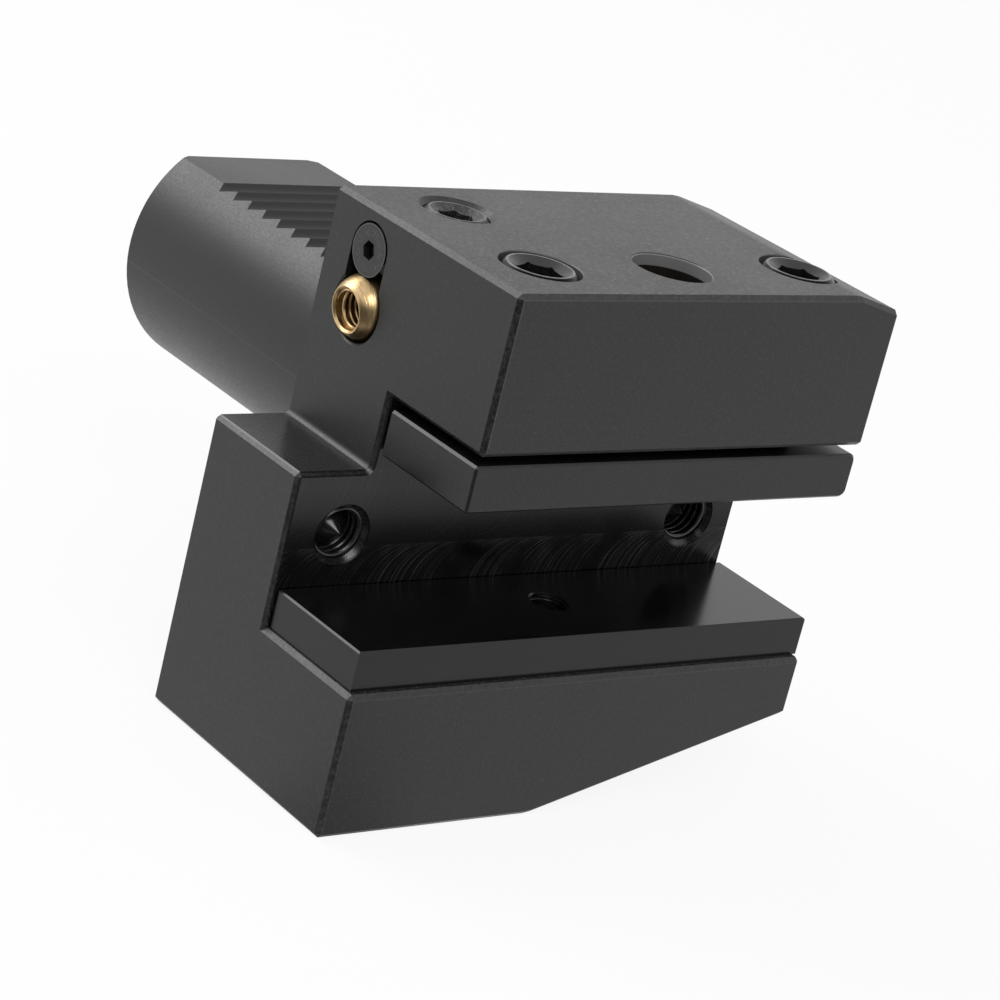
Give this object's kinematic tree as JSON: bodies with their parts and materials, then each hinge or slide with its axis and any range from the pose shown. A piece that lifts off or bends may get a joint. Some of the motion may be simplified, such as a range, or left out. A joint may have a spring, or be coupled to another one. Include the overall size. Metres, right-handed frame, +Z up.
{
  "type": "radial tool holder",
  "caption": "Radial lathe tool holder: toothed round shank, open slot for a square tool, screw-driven clamp bar, support plate and a swivelling ball coolant nozzle.",
  "frame": {"origin": "the point where the shank's axis meets the plane of the flange face", "axes": "+Y along the shank, away from the body; +X along the tool slot; +Z up, towards the shank's teeth and the heads of the clamping screws"},
  "size_m": [0.085, 0.107, 0.0805],
  "materials": {
    "body_steel": "black oxide, satin",
    "bar_steel": "black oxide, satin",
    "screw_steel": "black oxide, satin",
    "plate_steel": "black oxide, satin",
    "spring_steel": "plain",
    "nozzle_brass": "turned",
    "seal_rubber": "matt"
  },
  "bodies": {
    "holder": {"holder_body": "body_steel", "support_plate": "plate_steel", "support_plate_screw": "screw_steel", "coolant_plug": "screw_steel", "shank_seal_ring": "seal_rubber"},
    "bar": {"clamp_bar": "bar_steel", "bar_lift_screw": "screw_steel", "bar_lift_spring": "spring_steel"},
    "left_screw": {"clamp_screw_left": "screw_steel"},
    "right_screw": {"clamp_screw_right": "screw_steel"},
    "nozzle_seat": {"nozzle_seal_ring": "seal_rubber"},
    "nozzle": {"coolant_nozzle": "nozzle_brass"},
    "lock_screw": {"ball_clamp_screw": "screw_steel"}
  },
  "joints": [
    {"name": "bar_travel", "type": "slide", "parent": "holder", "child": "bar", "axis": [0, 0, 1], "range_m": [-0.0045, 0.0014], "deforming": ["bar_lift_spring"]},
    {"name": "left_screw_turn", "type": "hinge", "parent": "bar", "child": "left_screw", "pos_m": [-0.0179, -0.0326, 0.0074], "axis": [0, 0, 1], "range_deg": [-930, 292]},
    {"name": "right_screw_turn", "type": "hinge", "parent": "bar", "child": "right_screw", "pos_m": [0.03115, -0.0326, 0.0074], "axis": [0, 0, 1], "range_deg": [-930, 292]},
    {"name": "nozzle_swivel", "type": "hinge", "parent": "holder", "child": "nozzle_seat", "pos_m": [-0.02825, -0.0104, 0.01776], "axis": [1, 0, 0], "continuous": true},
    {"name": "nozzle_tilt", "type": "hinge", "parent": "nozzle_seat", "child": "nozzle", "pos_m": [-0.02825, -0.0104, 0.01776], "axis": [0, 1, 0], "range_deg": [-18, 32]},
    {"name": "lock_screw_turn", "type": "hinge", "parent": "holder", "child": "lock_screw", "pos_m": [-0.0301, -0.0104, 0.02626], "axis": [-1, 0, 0], "range_deg": [0, 180]}
  ],
  "couplings": [
    {"joint": "left_screw_turn", "follows": "bar_travel", "rad_per_m": 3590.4},
    {"joint": "right_screw_turn", "follows": "bar_travel", "rad_per_m": 3590.4}
  ]
}
